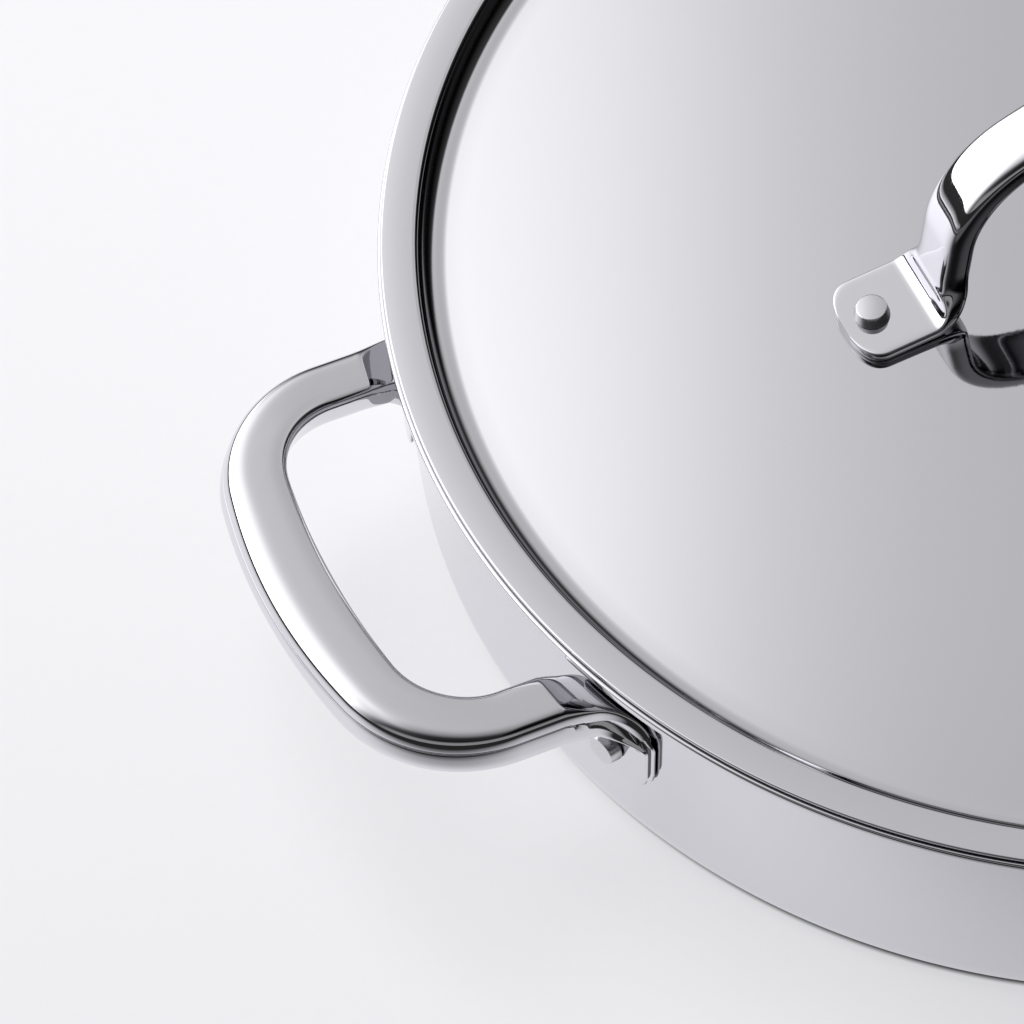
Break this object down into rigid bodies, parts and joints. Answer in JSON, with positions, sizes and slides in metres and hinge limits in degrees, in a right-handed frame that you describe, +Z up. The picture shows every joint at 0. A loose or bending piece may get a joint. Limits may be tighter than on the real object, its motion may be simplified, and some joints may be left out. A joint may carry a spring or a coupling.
{
  "type": "lidded saute pan",
  "caption": "Shallow polished steel saute pan with a domed drop-in lid, looped hollow side handles and an arched lid handle, all riveted.",
  "frame": {"origin": "centre of the pan's base, on the surface that the pan stands on", "axes": "+Z up through the middle of the lid, +X along both side handles and the lid handle, towards the right handle"},
  "size_m": [0.3614, 0.286, 0.1084],
  "materials": {
    "pan_steel": "mirror-polished stainless steel",
    "lid_steel": "mirror-polished stainless steel with faint fine scratches",
    "handle_steel": "mirror-polished stainless steel",
    "rivet_steel": "satin spun stainless steel"
  },
  "bodies": {
    "pan": {"pan_body": "pan_steel", "left_handle_upper_shell": "handle_steel", "left_handle_lower_shell": "handle_steel", "left_handle_rivet_front": "rivet_steel", "left_handle_rivet_back": "rivet_steel", "right_handle_upper_shell": "handle_steel", "right_handle_lower_shell": "handle_steel", "right_handle_rivet_front": "rivet_steel", "right_handle_rivet_back": "rivet_steel"},
    "lid": {"lid": "lid_steel", "lid_handle_outer_shell": "handle_steel", "lid_handle_inner_shell": "handle_steel", "lid_handle_rivet_left": "rivet_steel", "lid_handle_rivet_right": "rivet_steel"}
  },
  "joints": [
    {"name": "lid_lift", "type": "slide", "parent": "pan", "child": "lid", "axis": [0, 0, 1], "range_m": [0, 0.15]}
  ]
}
